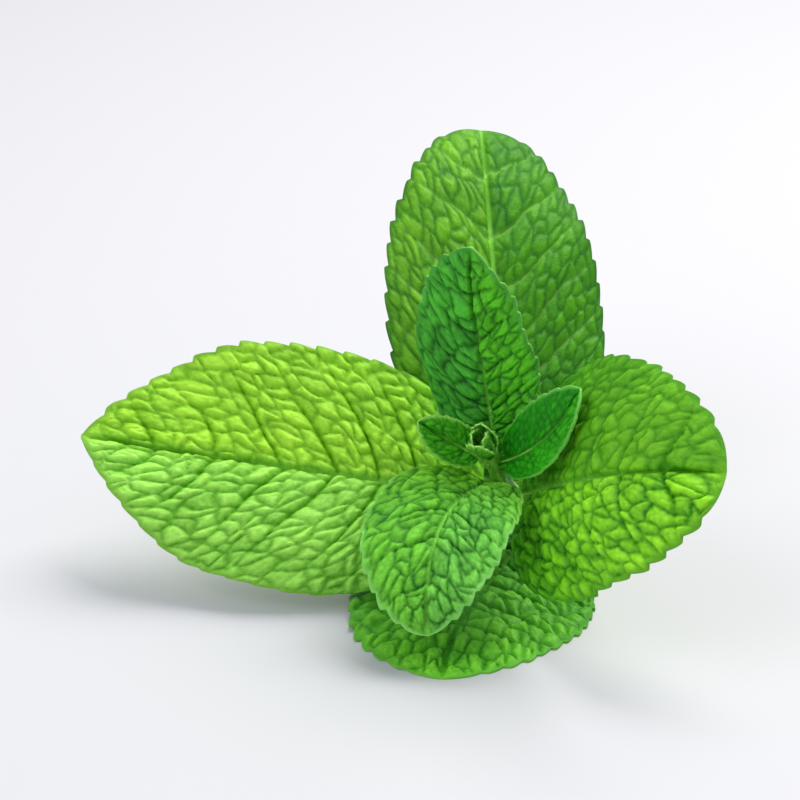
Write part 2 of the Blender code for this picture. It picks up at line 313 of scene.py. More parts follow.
def bent_blade(leaf, rows, columns, draw):
    """Bends the grid of a leaf to its shape in space."""
    row, column = np.meshgrid(rows, columns, indexing="ij")
    blade = past_petiole(row)
    across = np.abs(column)
    side_sign = np.where(column < 0, -1, 1)
    belly = np.sin(pi * blade)

    at_rib = row - VEIN_START * belly
    at_margin = row + VEIN_END * belly
    half = half_width(leaf, row, at_margin)
    tooth = tooth_height(leaf, blade, column, draw)
    forward = leaf.length * (at_margin - at_rib) * across**VEIN_SWEEP
    along = leaf.length * at_rib + forward + TOOTH_LEAN * tooth
    outwards = half * across + tooth

    walked = walk_midrib(leaf)
    station = along / leaf.length * MIDRIB_STEPS
    picked = [np.interp(station, range(len(walked)), values) for values in walked.T]
    place, ahead, side, face = np.moveaxis(np.array(picked).reshape(4, 3, *row.shape), 1, -1)
    over_end = along - np.clip(along, 0, leaf.length)
    place = place + ahead * over_end[..., None]

    fold = np.radians(np.where(column < 0, *leaf.fold)) * (1 - FOLD_LOST_AT_TIP * row)
    droop = np.radians(np.where(column < 0, *leaf.droop))
    slope = fold - droop / (leaf.width / 2) * outwards
    reach = outwards * np.cos((fold + slope) / 2) * side_sign
    rise = outwards * np.sin((fold + slope) / 2)
    rise = rise + np.sin(2 * pi * RIPPLES * row + side_sign) * leaf.wave * across**2 * belly
    place = place + side * reach[..., None] + face * rise[..., None]
    place[..., 2] = press_on_table(place[..., 2], SHEET)
    normal = face * np.cos(slope)[..., None] - side * (np.sin(slope) * side_sign)[..., None]
    return Blade(place, normal, row, column, blade, outwards, half, np.hypot(outwards, forward))


print("sheet thickness", SHEET / MM, "mm")

# %% [markdown]
# ## The net of veins
# Mint leaves look quilted. The side veins and a finer net between them lie in furrows, and the
# green between them swells up into little cushions. For the net we scatter points between each two
# side veins and ask which point is nearest: where two are equally near, there is a vein. This is
# the same trick as a Voronoi texture, but it gives real shape that also shows from the side. Used
# again with smaller cells, it gives the faint bumps on each cushion.

# %% The net of veins
VEIN_SQUARENESS = 0.74
SEED_JITTER = 0.42
SPARE_SEEDS = 3
WAVES = 5
WAVE_SPREAD = (0.7, 1.4)
VEIN_WANDER = (0.07, 0.015)
VEIN_WAVE = (2.2, 0.6)
WANDER_ACROSS = 3
NET_BEND = 0.15
NET_WAVE = 1.9


def vein_gap(leaf):
    """How far apart neighbouring side veins run."""
    return leaf.length * (1 - PETIOLE_SHARE) / leaf.veins * VEIN_SQUARENESS


def wobble(x, y, length, draw):
    """A smooth uneven map, mostly between -1 and 1, with waves of about that length."""
    total = np.zeros_like(x)
    for _ in range(WAVES):
        turn, start = draw.uniform(0, 2 * pi, 2)
        wave = length * draw.uniform(*WAVE_SPREAD)
        total += np.sin(2 * pi * (x * cos(turn) + y * sin(turn)) / wave + start)
    return total / WAVES**0.5


def vein_phase(leaf, blade, draw):
    """Counts the side veins passed on the way to the tip. They wander, each half its own way."""
    even = blade.blade * leaf.veins
    shifted = even + leaf.veins * (blade.column < 0)
    out = WANDER_ACROSS * np.abs(blade.column)
    wander = sum(
        share * wobble(shifted, out, wave, draw) for share, wave in zip(VEIN_WANDER, VEIN_WAVE)
    )
    return np.clip(even + wander * fade_at_ends(blade.blade, TOOTH_FADE), 0, leaf.veins)


def scatter_seeds(leaf, strip, cell, longest, draw):
    """Middles of the cushions between two side veins: uneven bricks in a few lines."""
    lines = max(round(vein_gap(leaf) / cell), 1)
    steps = int(longest / (cell * leaf.stretch)) + SPARE_SEEDS
    line, step = np.meshgrid(range(lines), range(-1, steps), indexing="ij")
    jitter = draw.uniform(-SEED_JITTER, SEED_JITTER, (2, *line.shape))
    x = (strip + (line + 0.5 + jitter[0]) / lines) * vein_gap(leaf)
    y = (step + 0.5 * (line % 2) + jitter[1]) * cell
    return np.stack((x.ravel(), y.ravel()), axis=1)


def net_of_veins(leaf, blade, phase, cell, draw):
    """For each point: how far it is from the net, and a number that its cushion drew."""
    strip = np.clip(phase.astype(int), 0, leaf.veins - 1)
    along = phase * vein_gap(leaf)
    reach = blade.vein_reach / leaf.stretch
    shifted = along + leaf.length * (blade.column < 0)
    along = along + NET_BEND * cell * wobble(shifted, reach, NET_WAVE * cell, draw)
    reach = reach + NET_BEND * cell * wobble(shifted, reach, NET_WAVE * cell, draw)
    from_net = np.zeros_like(phase)
    tone = np.zeros_like(phase)
    for on_left in (False, True):
        for number in range(leaf.veins):
            here = (strip == number) & ((blade.column >= 0) == on_left)
            seeds = scatter_seeds(leaf, number, cell, blade.vein_reach.max(), draw)
            spot = np.stack((along[here], reach[here]), axis=1)
            distance = np.linalg.norm(spot[:, None] - seeds[None], axis=2)
            nearest, second = np.argsort(distance, axis=1)[:, :2].T
            order = np.arange(len(spot))
            apart = np.linalg.norm(seeds[nearest] - seeds[second], axis=1)
            squares = distance[order, second] ** 2 - distance[order, nearest] ** 2
            from_net[here] = squares / (2 * apart)
            tone[here] = draw.random(len(seeds))[nearest]
    return from_net, tone


def soften(values):
    """Rounds off a map by mixing each value with its four neighbours."""
    edged = np.pad(values, 1, mode="edge")
    around = edged[2:, 1:-1] + edged[:-2, 1:-1] + edged[1:-1, 2:] + edged[1:-1, :-2]
    return (2 * values + around) / 6


print("cushions on leaf_left are about", round(LEAVES[2].cell / MM, 1), "mm wide")

# %% [markdown]
# ## Relief and thickness
# The upper face gets cushions, furrows and a groove along the midrib. The lower face follows it at
# the thickness of the sheet, and the veins stand out of it as ridges, the midrib most of all. At
# its foot the ridge is as wide as the leaf, and that is the stalk. The same distances are kept as
# maps, so that the finish can paint shade into a furrow exactly where the furrow is.

# %% Relief and thickness
LARGE_CELL = 1.8 * MM
NARROW_LEAF = 12 * MM
PUFF_ALONG = 0.6
PUFF_ACROSS = 0.7
RELIEF_FADE = 18
CUSHION_REACH = 0.4
CUSHION_ROUNDNESS = 0.75
CUSHION_LEVEL = 0.6
UNEVEN_CUSHIONS = 0.6
UNEVEN_FURROWS = 0.3
UNEVEN_WAVE = 2
HALVES_BLEND = 3 * MM
FINE_CELL = 0.42
FINE_RELIEF = 0.4
FURROW = 0.2 * MM
FURROW_HALF = 0.24 * MM
GROOVE = 0.28 * MM
GROOVE_HALF = 0.45 * MM
RIDGE = 0.62 * MM
RIDGE_HALF = 0.55 * MM
RIDGE_TAPER = 0.8
SIDE_RIDGE = 0.18 * MM
RIM = 0.6 * MM
RIM_BEAD = 0.14 * MM
THINNEST = 0.6
MIDRIB_MARK = 0.26 * MM
CREASE_MARK = 0.5 * MM
NET_MARK = 0.16 * MM
RIM_MARK = 0.4 * MM


def bell(distance, half):
    """1 on a line, falling away smoothly on both sides of it."""
    return np.exp(-((distance / half) ** 2))


def dome(distance, reach):
    """0 on a line and 1 from some way off, rising steeply at first."""
    return np.sin(pi / 2 * np.clip(distance / reach, 0, 1)) ** CUSHION_ROUNDNESS


def leaf_relief(leaf, blade, draw):
    """Upper and lower face of a leaf, and the maps that its finish needs."""
    phase = vein_phase(leaf, blade, draw)
    from_net, tone = net_of_veins(leaf, blade, phase, leaf.cell, draw)
    from_fine, _ = net_of_veins(leaf, blade, phase, leaf.cell * FINE_CELL, draw)
    from_side_vein = (0.5 - np.abs(phase % 1 - 0.5)) * vein_gap(leaf)
    size = leaf.cell / LARGE_CELL
    narrow = min(1, leaf.width / NARROW_LEAF)
    reach = CUSHION_REACH * leaf.cell
    across = np.abs(blade.column)
    inside = np.clip(blade.half * (1 - across), 0, None)
    at_ends = fade_at_ends(blade.blade, RELIEF_FADE)
    fade = at_ends * np.clip(inside / (RIM * size), 0, 1)
    width, _, rise = np.moveaxis(blade.place, -1, 0)
    uneven = 1 + UNEVEN_FURROWS * wobble(width, rise, UNEVEN_WAVE * leaf.cell, draw)
    cushion = dome(from_net, reach * uneven) * dome(blade.outwards, reach)
    cushion = cushion * (1 - (1 - dome(from_side_vein, reach)) * (1 - across**2))
    cushion = soften(cushion * (1 + UNEVEN_CUSHIONS * (tone - 0.5)))
    fine = soften(dome(from_fine, reach * FINE_CELL))

    puff = np.abs(np.sin(pi * phase)) ** PUFF_ALONG
    puff = puff * np.sin(pi * across**PUFF_ACROSS).clip(0) ** PUFF_ACROSS
    side_vein = bell(from_side_vein, FURROW_HALF * size) * fade * (1 - across) ** 0.5
    height = leaf.puff * puff * fade_at_ends(blade.blade, TOOTH_FADE)
    left = np.clip(0.5 + blade.outwards * np.sign(blade.column) / HALVES_BLEND, 0, 1)
    quilt = leaf.quilt[0] + (leaf.quilt[1] - leaf.quilt[0]) * left
    height = height + quilt * (cushion - CUSHION_LEVEL + FINE_RELIEF * fine * cushion) * fade
    height = height - FURROW * size * side_vein
    height = height - GROOVE * size * bell(blade.outwards, GROOVE_HALF * size) * at_ends
    height = height + RIM_BEAD * (1 - narrow) * bell(inside, RIM * size)

    ridge = RIDGE * narrow * (1 - RIDGE_TAPER * blade.row)
    ridge = ridge * bell(blade.outwards, RIDGE_HALF * size)
    thickness = SHEET * (THINNEST + (1 - THINNEST) * narrow)
    thickness = thickness + ridge + SIDE_RIDGE * size * side_vein * narrow
    upper = blade.place + blade.normal * height[..., None]
    lower = upper - blade.normal * thickness[..., None]
    upper[..., 2] = np.maximum(upper[..., 2], SHEET * THINNEST)
    lower[..., 2] = np.maximum(lower[..., 2], 0)
    marks = {
        "cushion": cushion * fade + (1 - fade) * CUSHION_LEVEL,
        "fine": fine,
        "tone": tone,
        "midrib": bell(blade.outwards, MIDRIB_MARK * size),
        # crease marks the midrib's groove, where the finish paints shade.
        "crease_shade": bell(blade.outwards, CREASE_MARK * size) * at_ends,
        "side_vein": side_vein,
        "net_vein": bell(from_net, NET_MARK * size) * fade,
        "rim": bell(inside, RIM_MARK * size),
        "left": left,
        "row": np.clip(blade.row, 0, 1),
    }
    return upper, lower, marks


print("furrows", FURROW / MM, "mm deep, midrib", RIDGE / MM, "mm proud underneath")

# %% [markdown]
# ## From two faces to one mesh
# A flat plate with the right number of squares is made by Blender: a grid, thickened by Solidify.
# Its upper and lower points are then moved to the leaf's two faces. The plate is closed from the
# start, so the leaf is closed too. The maps go along as attributes for the finish to read.

# %% From two faces to one mesh
PLATE = 0.1
STALK_ROWS = 8
STALK_DEPTH = 0.5 * MM
RIM_ANGLE = radians(60)


def sheet_mesh(name, upper, lower, marks):
    """A closed sheet between two faces that are given as grids of points."""
    rows, columns = (count - 1 for count in upper.shape[:2])
    plate = bmesh.new()
    bmesh.ops.create_grid(plate, x_segments=rows, y_segments=columns, size=1)
    bmesh.ops.solidify(plate, geom=plate.faces, thickness=PLATE)
    mesh = bpy.data.meshes.new(name)
    plate.to_mesh(mesh)
    plate.free()
    flat = np.empty(len(mesh.vertices) * 3, np.float32)
    mesh.vertices.foreach_get("co", flat)
    flat = flat.reshape(-1, 3)
    row = np.rint((flat[:, 0] + 1) / 2 * rows).astype(int)
    column = np.rint((flat[:, 1] + 1) / 2 * columns).astype(int)
    under = flat[:, 2] < -PLATE / 2
    placed = np.where(under[:, None], lower[row, column], upper[row, column])
    mesh.vertices.foreach_set("co", placed.astype(np.float32).ravel())
    maps = {key: values[row, column] for key, values in marks.items()}
    maps["under"] = under
    for key, values in maps.items():
        mark = mesh.attributes.new(key, "FLOAT", "POINT")
        mark.data.foreach_set("value", values.astype(np.float32))
    mesh.shade_smooth()
    mesh.set_sharp_from_angle(angle=RIM_ANGLE)
    mesh.update()
    return mesh


def add_piece(name, mesh, finish, node):
    """Puts a finished mesh in the scene, riding on the sprig in the place of one solid."""
    piece = bpy.data.objects.new(name, mesh)
    mesh.materials.append(finish)
    bpy.context.scene.collection.objects.link(piece)
    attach(piece, "root")
    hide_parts(node)


def make_leaf(leaf, finish, node, seed):
    """Models one leaf from its numbers, adds it to the scene and returns its upper face."""
    draw = np.random.default_rng(seed)
    start = -(JOINT_GAP + STALK_DEPTH) / leaf.length
    stalk = np.linspace(start, PETIOLE_SHARE, STALK_ROWS, endpoint=False)
    blade_rows = np.linspace(PETIOLE_SHARE, 1, leaf.veins * leaf.rows_per_vein + 1)
    columns = np.linspace(-1, 1, 2 * leaf.columns + 1)
    blade = bent_blade(leaf, np.concatenate((stalk, blade_rows)), columns, draw)
    upper, lower, marks = leaf_relief(leaf, blade, draw)
    name = leaf.name + "_blade"
    mesh = sheet_mesh(name, upper, lower, marks)
    print(name, len(mesh.polygons) * 2, "triangles")
    add_piece(name, mesh, finish, node)
    return upper


# %% [markdown]
# ## Writing finishes as sums
# A finish is a network of nodes. Long networks are hard to read as code, so one small class wraps a
# node's output and lets us write `1 - rib` or `0.3 * noise + 0.5`. Each such sum adds the Math node
# that works it out. Every other node comes from one method, which takes its settings first and
# then the values or links of its sockets.


# %% Writing finishes as sums
class Wire:
    """A node's output. Sums and products of wires add the Math nodes for them."""

    def __init__(self, finish, socket):
        self.finish = finish
        self.socket = socket

    def math(self, operation, *values):
        return self.finish.node("ShaderNodeMath", {"operation": operation}, dict(enumerate(values)))

    def __add__(self, other):
        return self.math("ADD", self, other)

    def __radd__(self, other):
        return self.math("ADD", other, self)

    def __sub__(self, other):
        return self.math("SUBTRACT", self, other)

    def __rsub__(self, other):
        return self.math("SUBTRACT", other, self)

    def __mul__(self, other):
        return self.math("MULTIPLY", self, other)

    def __rmul__(self, other):
        return self.math("MULTIPLY", other, self)

    def __truediv__(self, other):
        return self.math("DIVIDE", self, other)

    def clip(self):
        """Held between 0 and 1."""
        return self.math("MINIMUM", self.math("MAXIMUM", self, 0.0), 1.0)


class Finish:
    """A material while its nodes are laid."""

    def __init__(self, name):
        self.material = bpy.data.materials.new(name)
        self.material.use_nodes = True
        self.tree = self.material.node_tree
        self.shader = self.tree.nodes["Principled BSDF"]
        self.coordinates = self.node("ShaderNodeTexCoord", output="Object")

    def plug(self, socket, value):
        if isinstance(value, Wire):
            self.tree.links.new(value.socket, socket)
        else:
            socket.default_value = value

    def node(self, kind, settings=None, sockets=None, output=0):
        made = self.tree.nodes.new(kind)
        for key, value in (settings or {}).items():
            setattr(made, key, value)
        for key, value in (sockets or {}).items():
            self.plug(made.inputs[key], value)
        return Wire(self, made.outputs[output])

    def mark(self, name):
        """A map that the mesh carries as an attribute."""
        return self.node("ShaderNodeAttribute", {"attribute_name": name}, output="Fac")

    def mix(self, factor, low, high, blend="MIX"):
        """A colour between two others."""
        settings = {"data_type": "RGBA", "blend_type": blend, "clamp_factor": True}
        return self.node("ShaderNodeMix", settings, {0: factor, 6: low, 7: high}, output=2)

    def noise(self, scale, detail=2.0):
        """Soft blotches, in blotches to a metre."""
        sockets = {"Vector": self.coordinates, "Scale": scale, "Detail": detail}
        return self.node("ShaderNodeTexNoise", None, sockets)

    def cells(self, scale):
        """A fine cellular skin, in cells to a metre."""
        sockets = {"Vector": self.coordinates, "Scale": scale}
        return self.node("ShaderNodeTexVoronoi", {"feature": "DISTANCE_TO_EDGE"}, sockets)

    def bump(self, height, distance, normal=None):
        """Fine relief that only shades. distance is in metres."""
        sockets = {"Strength": 1.0, "Distance": distance, "Height": height}
        if normal:
            sockets["Normal"] = normal
        return self.node("ShaderNodeBump", None, sockets)

    def set(self, **sockets):
        """Sets the shader's own sockets, named in plain words with _ for a space."""
        for key, value in sockets.items():
            self.plug(self.shader.inputs[key.replace("_", " ")], value)


def screen(red, green, blue):
    """A colour as a screen shows it, 0 to 255, in the linear values that shaders work in."""
    shares = [value / 255 for value in (red, green, blue)]
    linear = [x / 12.92 if x <= 0.04045 else ((x + 0.055) / 1.055) ** 2.4 for x in shares]
    return (*linear, 1.0)


# %% [markdown]
# ## The leaf finish
# A fresh mint leaf is satin and never one flat green. The cushions are painted a bright yellow green
# as painted light, and the furrows between them a deep green as painted shade; each cushion also
# differs a little from its neighbours. The midrib is pale near the stem and on some leaves only a
# dark crease towards the tip, its darkness painted shade. A leaf is painted darker at its foot, as
# painted shade where others shade it, and its underside is paler and duller with pale veins. The two
# halves of one leaf catch the light differently, so each half gets its own pair of greens, for its
# furrows and for its cushions: this too is painted light. The rims are partly the margin's own tint
# and partly painted: dark rims where a margin curls away are painted shade, pale rims painted
# highlight.

# %% The leaf finish
UNDERSIDE = screen(120, 160, 72)
PALE_RIB = screen(170, 242, 104)
BLOOM = screen(150, 225, 165)
SHADED_FOOT = (0.26, 0.66, 0.12, 1.0)
PATCHES = 130.0
GRAIN = 1400.0
SKIN_CELLS = 2400.0
SKIN_CELL_DEPTH = 0.07 * MM
SKIN_GRAIN = 4200.0
SKIN_GRAIN_DEPTH = 0.06 * MM
CUSHION_LIGHT = 0.45
FINE_LIGHT = 0.3
TONE_LIGHT = 0.16
PATCH_LIGHT = 0.7
GRAIN_LIGHT = 0.6
LIGHT_LOWERED = 0.6
NET_SHADE = 0.25
SIDE_VEIN_SHADE = 0.4
RIM_LEAST = 0.3
RIM_PATCHES = 0.8
RIB_AT_FOOT = 1.4
RIB_FADE = 1.6
UNDER_NET = 0.22
UNDER_SIDE_VEIN = 0.5
UNDER_RIB = 0.6
UNDER_PATCHES = 0.3
LEAF_ROUGHNESS = 0.46
FURROW_ROUGHNESS = 0.16
GRAIN_ROUGHNESS = 0.2
UNDER_ROUGHNESS = 0.12


class Greens(NamedTuple):
    """What one leaf's finish differs in. With no left pair, both halves take the right one."""

    right: tuple
    rim: tuple
    left: tuple = ()
    laterals: float = 0.0
    midrib: float = 0.0
    # How strongly painted shade darkens the midrib's crease.
    crease_shade: float = 0.55
    # foot, foot_reach and shade paint shade towards the leaf's foot: how strong it is, how far up the
    # leaf it reaches, and the tint that the colour is multiplied by.
    foot: float = 0.7
    foot_reach: float = 0.45
    shade: tuple = SHADED_FOOT
    bloom: float = 0.0
    underside: float = 0.75


def pair(furrow, crown):
    """The dark green that paints shade into the furrows and the bright green that paints light onto
    the cushions, as a screen shows them.
    """
    return screen(*furrow), screen(*crown)


def leaf_finish(name, greens):
    """The finish of one leaf, from its greens."""
    finish = Finish(name)
    cushion, tone, fine = finish.mark("cushion"), finish.mark("tone"), finish.mark("fine")
    net_vein, side_vein = finish.mark("net_vein"), finish.mark("side_vein")
    left, row, midrib = finish.mark("left"), finish.mark("row"), finish.mark("midrib")
    under = finish.mark("under")
    patches = finish.noise(PATCHES)
    grain = finish.noise(GRAIN)
    # Painted light: each half of the leaf gets its own furrow and cushion greens, because the halves
    # face the light differently.
    left_pair = greens.left or greens.right
    furrows = finish.mix(left, greens.right[0], left_pair[0])
    crowns = finish.mix(left, greens.right[1], left_pair[1])
    # Painted light and shade: lit is high on the cushion tops and fine bumps (painted light) and low
    # in the net's furrows and along the side veins (painted shade), with random tone from each
    # cushion's number, the patches and the grain.
    lit = CUSHION_LIGHT * cushion + FINE_LIGHT * fine + TONE_LIGHT * tone
    lit = lit + PATCH_LIGHT * patches + GRAIN_LIGHT * grain - LIGHT_LOWERED
    lit = lit - NET_SHADE * net_vein - SIDE_VEIN_SHADE * side_vein
    colour = finish.mix(lit, furrows, crowns)
    # Partly painted light: the rim green is partly the margin's own tint; darker rims, as on the back
    # leaf, are painted shade where the margin curls away, and paler rims, as on the small lower leaf,
    # the young leaves and the bud, are painted highlight, broken up by the patches.
    colour = finish.mix(finish.mark("rim") * (RIM_LEAST + RIM_PATCHES * patches), colour, greens.rim)
    # Painted shade: along the midrib's crease the colour is pulled towards the furrow green.
    colour = finish.mix(finish.mark("crease_shade") * greens.crease_shade, colour, furrows)
    colour = finish.mix(side_vein * greens.laterals, colour, PALE_RIB)
    # Painted shade: towards the leaf's foot, where other leaves shade it, the colour is multiplied by
    # the shade tint.
    near_foot = (1 - row / greens.foot_reach).clip()
    colour = finish.mix(near_foot * greens.foot, colour, greens.shade, "MULTIPLY")
    rib = (RIB_AT_FOOT + greens.midrib - RIB_FADE * row).clip()
    colour = finish.mix(midrib * rib, colour, PALE_RIB)
    veins = UNDER_NET * net_vein + UNDER_SIDE_VEIN * side_vein + UNDER_RIB * midrib
    pale = finish.mix(veins + UNDER_PATCHES * patches, UNDERSIDE, PALE_RIB)
    colour = finish.mix(greens.underside * under, colour, pale)
    roughness = LEAF_ROUGHNESS + FURROW_ROUGHNESS * (1 - cushion)
    roughness = roughness + GRAIN_ROUGHNESS * (grain - 0.5) + UNDER_ROUGHNESS * under
    skin = finish.bump(finish.cells(SKIN_CELLS), SKIN_CELL_DEPTH)
    skin = finish.bump(finish.noise(SKIN_GRAIN, 3.0), SKIN_GRAIN_DEPTH, skin)
    finish.set(Base_Color=colour, Roughness=roughness, Normal=skin, Specular_IOR_Level=0.24)
    finish.set(Subsurface_Weight=0.12, Subsurface_Scale=0.35 * MM, Subsurface_Radius=(0.6, 1.0, 0.1))
    finish.set(Sheen_Weight=greens.bloom, Sheen_Roughness=0.4, Sheen_Tint=BLOOM)
    return finish.material


GREENS = {
    "leaf_back": Greens(
        right=pair((24, 102, 0), (76, 154, 0)), left=pair((42, 114, 0), (112, 182, 20)),
        rim=screen(30, 100, 20), laterals=0.4, midrib=0.6, crease_shade=0,
    ),
    "leaf_front": Greens(
        right=pair((50, 152, 8), (144, 238, 62)), rim=screen(108, 196, 60), midrib=-0.6,
        # A painted shadow of the small lower leaf darkens the front leaf almost to its tip.
        foot=1.0, foot_reach=1.05, shade=(0.05, 0.24, 0.02, 1.0),
    ),
    "leaf_left": Greens(
        right=pair((98, 164, 2), (174, 232, 58)), left=pair((78, 154, 10), (172, 238, 96)),
        rim=screen(104, 160, 40), midrib=-0.15,
    ),
    "leaf_right": Greens(
        right=pair((38, 130, 0), (158, 236, 38)), left=pair((62, 144, 0), (124, 200, 34)),
        rim=screen(74, 150, 30), crease_shade=0.1, foot=0.95, foot_reach=0.72,
    ),
    "leaf_small_upper": Greens(
        right=pair((14, 98, 0), (94, 200, 30)), left=pair((8, 92, 0), (84, 194, 54)),
        rim=screen(70, 160, 60), midrib=-0.1, crease_shade=0, bloom=0.08,
    ),
    "leaf_small_lower": Greens(
        right=pair((20, 106, 0), (124, 214, 56)), left=pair((20, 106, 0), (124, 214, 76)),
        rim=screen(136, 212, 104), midrib=0.45, crease_shade=0,
        # Here the tint at the foot brightens and yellows the colour instead of darkening it.
        foot=1.0, shade=(1.3, 1.1, 0.5, 1.0), bloom=0.08,
    ),
    "leaf_young_left": Greens(
        right=pair((34, 126, 0), (80, 186, 26)), rim=screen(170, 236, 104), foot=0.3, bloom=0.05,
    ),
    "leaf_young_right": Greens(
        right=pair((8, 114, 0), (66, 194, 12)), left=pair((4, 104, 0), (44, 170, 6)),
        rim=screen(140, 230, 100), foot=0.9, foot_reach=0.7, bloom=0.05,
    ),
}
FINISHES = {name: leaf_finish(name + "_green", greens) for name, greens in GREENS.items()}
print("leaf finishes", sorted(FINISHES))

# %% [markdown]
# ## Growing the leaves
# With the plan, the relief and the finishes ready, the leaves are a loop. Each takes its random
# draws from its own number, so changing one leaf never changes another. The upper faces are kept,
# because the hairs will grow from their margins.

# %% Growing the leaves
upper_faces = {}
for number, leaf in enumerate(LEAVES):
    upper_faces[leaf.name] = make_leaf(leaf, FINISHES[leaf.name], leaf.name, seed=number)

# %% [markdown]
# ## The closed bud
# At the tip, two crossed pairs of tiny leaves are still rolled round a core. They are made like
# the large ones, with their own small numbers. The core is a ball, stretched along the stem.

# %% The closed bud
BUD_GAP = 0.4 * MM
BUD_CORE_HALF = 1.0 * MM
BUD_CORE_LENGTH = 3.4 * MM
BUD_SEED = 20
OUTER_BUD_PAIR = STEM_LENGTH + BUD_GAP + 0.6 * MM
INNER_BUD_PAIR = OUTER_BUD_PAIR + 0.8 * MM
BUD_RELIEF = dict(
    fold=(30, 30), droop=(10, 10), veins=2, puff=0.0, tooth=(0.2 * MM, 0.2 * MM), wave=0.0,
    root=0.6 * MM, cell=0.7 * MM, quilt=(0.1 * MM, 0.1 * MM), rows_per_vein=24, columns=18,
)
BUD_LEAVES = (
    Leaf(
        "bud_lower", OUTER_BUD_PAIR, around=180, length=5.2 * MM, width=3.6 * MM, lift=34,
        bend=(-30, -60, -10), **BUD_RELIEF,
    ),
    Leaf(
        "bud_upper", OUTER_BUD_PAIR, around=0, length=5.6 * MM, width=3.6 * MM, lift=30,
        bend=(-30, -60, -10), **BUD_RELIEF,
    ),
    Leaf(
        "bud_left", INNER_BUD_PAIR, around=90, length=4.2 * MM, width=2.8 * MM, lift=22,
        bend=(-20, -50, 0), **BUD_RELIEF,
    ),
    Leaf(
        "bud_right", INNER_BUD_PAIR, around=-90, length=4.2 * MM, width=2.8 * MM, lift=22,
        bend=(-20, -50, 0), **BUD_RELIEF,
    ),
)
BUD_GREENS = Greens(
    right=pair((30, 122, 0), (112, 206, 48)), rim=screen(176, 240, 116), foot=0.2, bloom=0.05,
    underside=0.15,
)
bud_finish = leaf_finish("bud_green", BUD_GREENS)
for number, leaf in enumerate(BUD_LEAVES, start=BUD_SEED):
    upper_faces[leaf.name] = make_leaf(leaf, bud_finish, "bud", seed=number)


def make_bud_core():
    """The unopened heart of the bud, which the tiny leaves close round."""
    foot, ahead, _ = stem_frame(STEM_LENGTH - BUD_GAP)
    core = bmesh.new()
    bmesh.ops.create_icosphere(core, subdivisions=4, radius=1)
    length = BUD_CORE_LENGTH / 2 + BUD_GAP
    bmesh.ops.scale(core, vec=(BUD_CORE_HALF, BUD_CORE_HALF, length), verts=core.verts)
    turn = Vector((0, 0, 1)).rotation_difference(ahead).to_matrix()
    place = Matrix.Translation(foot + ahead * length) @ turn.to_4x4()
    bmesh.ops.transform(core, matrix=place, verts=core.verts)
    mesh = bpy.data.meshes.new("bud_core")
    core.to_mesh(mesh)
    core.free()
    mesh.shade_smooth()
    add_piece("bud_core", mesh, bud_finish, "bud")


make_bud_core()
print("bud at", tuple(round(x / MM, 1) for x in stem_frame(OUTER_BUD_PAIR)[0]), "mm")

# %% [markdown]
# ## The square stem
# Mint has a square stem with rounded corners and a shallow furrow down each side. A cylinder is cut
# into many rings, and each point is moved to the stem's line: its angle gives the place on the
# section, its height the distance from the cut end. The end was cut with a knife a little aslant,
# and shows a green rim round pale pith.

# %% The square stem
STEM_SIDES = 72
STEM_RINGS = 180
SQUARENESS = 5.0
STEM_FURROW = 0.07
CUT_SLANT = 0.25 * MM
CUT_REACH = 2 * MM
PITH_DEPTH = 0.12 * MM
PITH_EDGE = 0.15
CUT_RINGS = ((0.14, 0.0), (0.1, PITH_DEPTH), (0.3, 0.0))


def section_radius(turn):
    """How far out the square section reaches at an angle, in halves of its width."""
    square = (abs(cos(turn)) ** SQUARENESS + abs(sin(turn)) ** SQUARENESS) ** (-1 / SQUARENESS)
    return square - STEM_FURROW * max(cos(4 * turn), 0) ** 2


def make_stem(finish):
    """The stem, from a cylinder of many rings."""
    tube = bmesh.new()
    bmesh.ops.create_cone(
        tube, cap_ends=True, cap_tris=False, segments=STEM_SIDES, radius1=1, radius2=1, depth=2,
    )
    long_edges = [e for e in tube.edges if abs(e.verts[0].co.z - e.verts[1].co.z) > 1]
    bmesh.ops.subdivide_edges(tube, edges=long_edges, cuts=STEM_RINGS)
    for share, depth in CUT_RINGS:
        ends = [face for face in tube.faces if len(face.verts) > 4]
        foot = min(ends, key=lambda face: face.calc_center_median().z)
        bmesh.ops.inset_individual(tube, faces=[foot], thickness=share, depth=0)
        for vertex in foot.verts:
            vertex.co.z += depth / STEM_LENGTH * 2
    pith = tube.verts.layers.float.new("pith")
    corner = tube.verts.layers.float.new("corner")
    for vertex in tube.verts:
        x, y, z = vertex.co
        out = (x * x + y * y) ** 0.5
        turn = np.arctan2(y, x)
        along = (z + 1) / 2 * STEM_LENGTH
        near_foot = max(1 - along / CUT_REACH, 0)
        centre, ahead, upper = stem_frame(along)
        away = upper * cos(turn) + STEM_LEFT * sin(turn)
        vertex[pith] = np.clip((1 - out) / PITH_EDGE, 0, 1) * (along < STEM_LENGTH / 2)
        vertex[corner] = 0.5 - 0.5 * cos(4 * turn)
        slant = CUT_SLANT * (1 + out * cos(turn)) * near_foot
        vertex.co = centre + ahead * slant + away * (out * section_radius(turn) * stem_half(along))
    mesh = bpy.data.meshes.new("square_stem")
    tube.to_mesh(mesh)
    volume = tube.calc_volume(signed=True) / MM**3
    print("square_stem", len(tube.faces), "faces,", round(volume), "mm3")
    tube.free()
    mesh.shade_smooth()
    mesh.set_sharp_from_angle(angle=RIM_ANGLE)
    add_piece("square_stem", mesh, finish, "stem")


